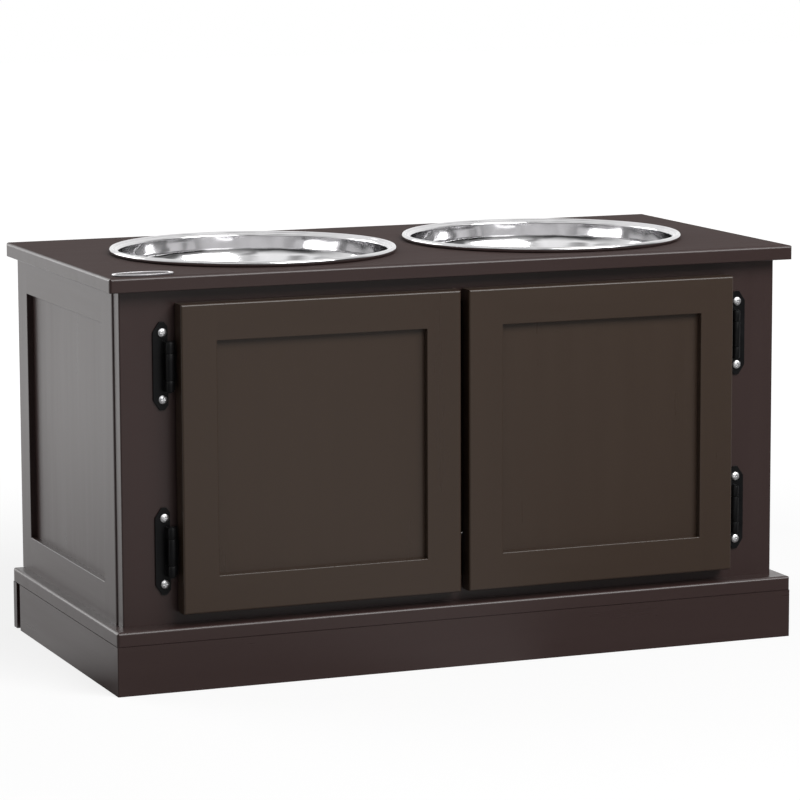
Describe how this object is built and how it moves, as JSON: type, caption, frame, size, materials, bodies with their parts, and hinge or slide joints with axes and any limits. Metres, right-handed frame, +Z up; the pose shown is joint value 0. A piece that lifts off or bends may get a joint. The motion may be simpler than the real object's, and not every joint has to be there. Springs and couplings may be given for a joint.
{
  "type": "elevated pet feeder cabinet",
  "caption": "Low wooden cabinet with framed doors over a storage space, and lift-out steel bowls hung in holes in its top board.",
  "frame": {"origin": "on the floor under the middle of the cabinet's overall box", "axes": "+X to the cabinet's right as seen from the front, +Y to its back, +Z up; the doors face -Y"},
  "size_m": [0.6, 0.296, 0.3389],
  "materials": {
    "stained_wood": "dark espresso stain under a satin lacquer",
    "back_board": "thin board, dark stained",
    "bare_wood": "bare, sanded",
    "hinge_black": "black enamel on pressed steel",
    "spring_steel": "plain spring steel",
    "screw_zinc": "bright plated",
    "badge_metal": "polished metal, blank",
    "bowl_steel": "stainless steel, polished inside and on the rim",
    "bumper_rubber": "soft clear rubber"
  },
  "bodies": {
    "cabinet": {"top_panel": "stained_wood", "base_board": "stained_wood", "plinth_front": "stained_wood", "plinth_left": "stained_wood", "plinth_right": "stained_wood", "plinth_back": "stained_wood", "plinth_corner_blocks": "bare_wood", "left_side_front_stile": "stained_wood", "left_side_rear_stile": "stained_wood", "left_side_top_rail": "stained_wood", "left_side_bottom_rail": "stained_wood", "left_side_panel": "stained_wood", "right_side_front_stile": "stained_wood", "right_side_rear_stile": "stained_wood", "right_side_top_rail": "stained_wood", "right_side_bottom_rail": "stained_wood", "right_side_panel": "stained_wood", "face_frame_left_stile": "stained_wood", "face_frame_right_stile": "stained_wood", "face_frame_top_rail": "stained_wood", "face_frame_bottom_rail": "stained_wood", "back_panel": "back_board", "back_panel_screws": "screw_zinc", "base_screws": "screw_zinc", "carcass_dowels": "bare_wood", "badge": "badge_metal", "left_upper_frame_leaf": "hinge_black", "left_lower_frame_leaf": "hinge_black", "right_upper_frame_leaf": "hinge_black", "right_lower_frame_leaf": "hinge_black", "left_upper_hinge_pin": "hinge_black", "left_lower_hinge_pin": "hinge_black", "right_upper_hinge_pin": "hinge_black", "right_lower_hinge_pin": "hinge_black", "closing_springs": "spring_steel", "hinge_frame_screws": "screw_zinc"},
    "left_door": {"left_door_hinge_stile": "stained_wood", "left_door_free_stile": "stained_wood", "left_door_top_rail": "stained_wood", "left_door_bottom_rail": "stained_wood", "left_door_panel": "stained_wood", "left_door_dowels": "bare_wood", "left_upper_door_leaf": "hinge_black", "left_lower_door_leaf": "hinge_black", "left_door_screws": "screw_zinc", "left_door_bumpers": "bumper_rubber"},
    "right_door": {"right_door_hinge_stile": "stained_wood", "right_door_free_stile": "stained_wood", "right_door_top_rail": "stained_wood", "right_door_bottom_rail": "stained_wood", "right_door_panel": "stained_wood", "right_door_dowels": "bare_wood", "right_upper_door_leaf": "hinge_black", "right_lower_door_leaf": "hinge_black", "right_door_screws": "screw_zinc", "right_door_bumpers": "bumper_rubber"},
    "left_bowl": {"left_bowl": "bowl_steel"},
    "right_bowl": {"right_bowl": "bowl_steel"}
  },
  "joints": [
    {"name": "left_door_swing", "type": "hinge", "parent": "cabinet", "child": "left_door", "pos_m": [-0.25, -0.1395, 0.186], "axis": [0, 0, -1], "range_deg": [0, 110]},
    {"name": "right_door_swing", "type": "hinge", "parent": "cabinet", "child": "right_door", "pos_m": [0.25, -0.1395, 0.186], "axis": [0, 0, 1], "range_deg": [0, 110]},
    {"name": "left_bowl_lift", "type": "slide", "parent": "cabinet", "child": "left_bowl", "axis": [0, 0, 1], "range_m": [0, 0.075]},
    {"name": "right_bowl_lift", "type": "slide", "parent": "cabinet", "child": "right_bowl", "axis": [0, 0, 1], "range_m": [0, 0.075]}
  ]
}
